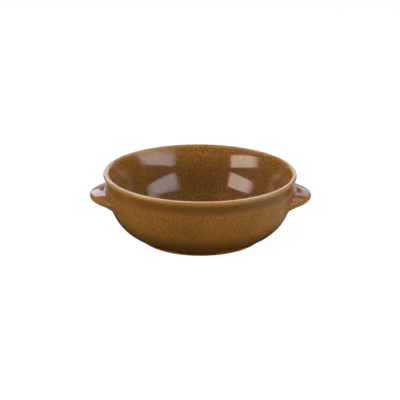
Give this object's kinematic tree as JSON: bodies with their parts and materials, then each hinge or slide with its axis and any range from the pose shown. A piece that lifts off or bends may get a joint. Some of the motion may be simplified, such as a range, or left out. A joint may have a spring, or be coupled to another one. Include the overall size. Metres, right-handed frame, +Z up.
{
  "type": "handled baking dish",
  "caption": "Round bellied stoneware baking dish with a flared rounded lip, half-moon lug handles on opposite sides, a low foot ring and a glossy speckled brown glaze, for oven and table.",
  "frame": {"origin": "on the table, under the middle of the bowl", "axes": "+Z up along the bowl's axis, +X through the right handle"},
  "size_m": [0.1846, 0.16, 0.056],
  "materials": {
    "glaze": "glossy speckled brown glaze",
    "bare_clay": "brown glaze on the sides, bare fired clay on the standing face"
  },
  "bodies": {
    "root": {"bowl": "glaze", "left_handle": "glaze", "right_handle": "glaze", "foot_ring": "bare_clay"}
  },
  "joints": []
}
